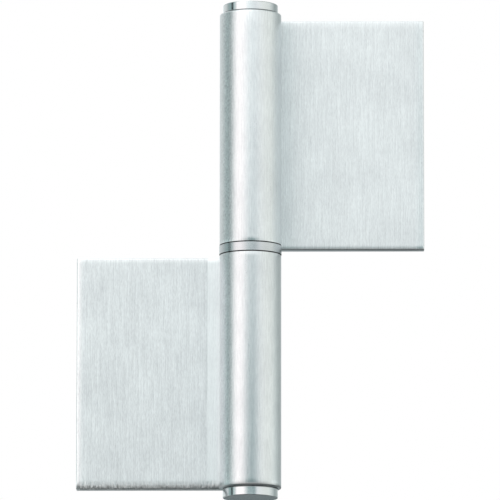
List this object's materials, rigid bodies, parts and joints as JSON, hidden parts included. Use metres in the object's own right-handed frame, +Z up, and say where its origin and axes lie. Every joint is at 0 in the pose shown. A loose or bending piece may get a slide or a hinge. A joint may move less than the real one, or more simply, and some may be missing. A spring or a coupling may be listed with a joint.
{
  "type": "lift-off hinge",
  "caption": "Weld-on lift-off flag hinge in stainless steel: plain leaves with rolled eyes, a loose washer between them and a headed cap at each end.",
  "frame": {"origin": "on the pin's axis at mid height of the washer, which is also the middle of the part's box", "axes": "+Z up the pin, the way the upper half lifts; +X towards the free edge of the upper leaf; +Y out of the leaves' backs, which are welded to door and frame"},
  "size_m": [0.092, 0.0164, 0.132],
  "materials": {
    "ground_plate": "stainless plate, ground in the direction of the pin",
    "turned_steel": "stainless, fine turned",
    "pin_steel": "stainless, smooth drawn bar"
  },
  "bodies": {
    "lower_half": {"lower_leaf": "ground_plate", "hinge_pin": "pin_steel", "bottom_cap": "turned_steel"},
    "washer": {"thrust_washer": "turned_steel"},
    "upper_half": {"upper_leaf": "ground_plate", "top_cap": "turned_steel"}
  },
  "joints": [
    {"name": "swing", "type": "hinge", "parent": "lower_half", "child": "washer", "pos_m": [0, 0, 0], "axis": [0, 0, 1], "continuous": true},
    {"name": "lift_off", "type": "slide", "parent": "washer", "child": "upper_half", "axis": [0, 0, 1], "range_m": [0, 0.05]}
  ]
}
